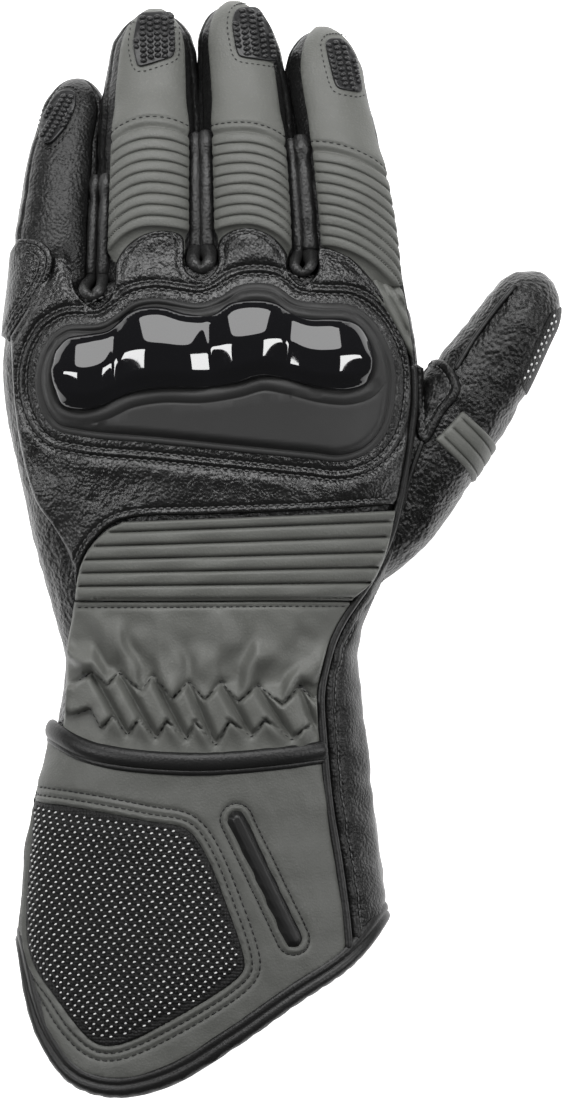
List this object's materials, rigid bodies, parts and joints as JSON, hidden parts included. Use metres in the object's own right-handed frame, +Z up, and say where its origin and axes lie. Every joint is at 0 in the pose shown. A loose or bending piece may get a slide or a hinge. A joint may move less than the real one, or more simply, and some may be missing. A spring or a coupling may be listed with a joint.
{
  "type": "winter motorcycle glove",
  "caption": "Left-hand leather gauntlet glove with a long flared cuff, ribbed finger backs, a ribbed wrist and a hard gloss knuckle guard, lying palm down.",
  "frame": {"origin": "centre of the glove's bounding box, on the surface that the palm rests on", "axes": "+Y from the cuff towards the fingertips, +X towards the thumb, +Z up out of the back of the hand"},
  "size_m": [0.1631, 0.3162, 0.0582],
  "materials": {
    "black_leather": "pebbled semi-matt black leather",
    "grey_leather": "smooth matt grey leather",
    "binding_leather": "smooth black leather, rolled",
    "moulded_rubber": "matt moulded rubber",
    "gloss_guard": "polished black",
    "studded_rubber": "black rubber with rows of small studs",
    "studded_mesh": "black knitted mesh with small bright dots"
  },
  "bodies": {
    "root": {"pinky_sheath": "black_leather", "ring_sheath": "black_leather", "middle_sheath": "black_leather", "index_sheath": "black_leather", "thumb_sheath": "black_leather", "hand_shell": "black_leather", "cuff_sleeve": "black_leather", "side_panel": "black_leather", "hand_back_panel": "black_leather", "pinky_side_patch": "black_leather", "thumb_crotch_patch": "black_leather", "pinky_ring_fourchette_roll": "black_leather", "ring_middle_fourchette_roll": "black_leather", "middle_index_fourchette_roll": "black_leather", "ring_back": "grey_leather", "middle_back": "grey_leather", "index_back": "grey_leather", "wrist_accordion": "grey_leather", "wrist_gather": "grey_leather", "gauntlet_flap": "grey_leather", "thumb_rib_panel": "grey_leather", "side_seam_piping": "binding_leather", "gauntlet_top_binding": "binding_leather", "hem_binding": "binding_leather", "gauntlet_slot_bar": "moulded_rubber", "knuckle_surround": "moulded_rubber", "knuckle_guard": "gloss_guard", "pinky_tip_pad": "studded_rubber", "ring_tip_pad": "studded_rubber", "middle_tip_pad": "studded_rubber", "index_tip_pad": "studded_rubber", "thumb_perforated_patch": "studded_rubber", "gauntlet_mesh_patch": "studded_mesh"}
  },
  "joints": []
}
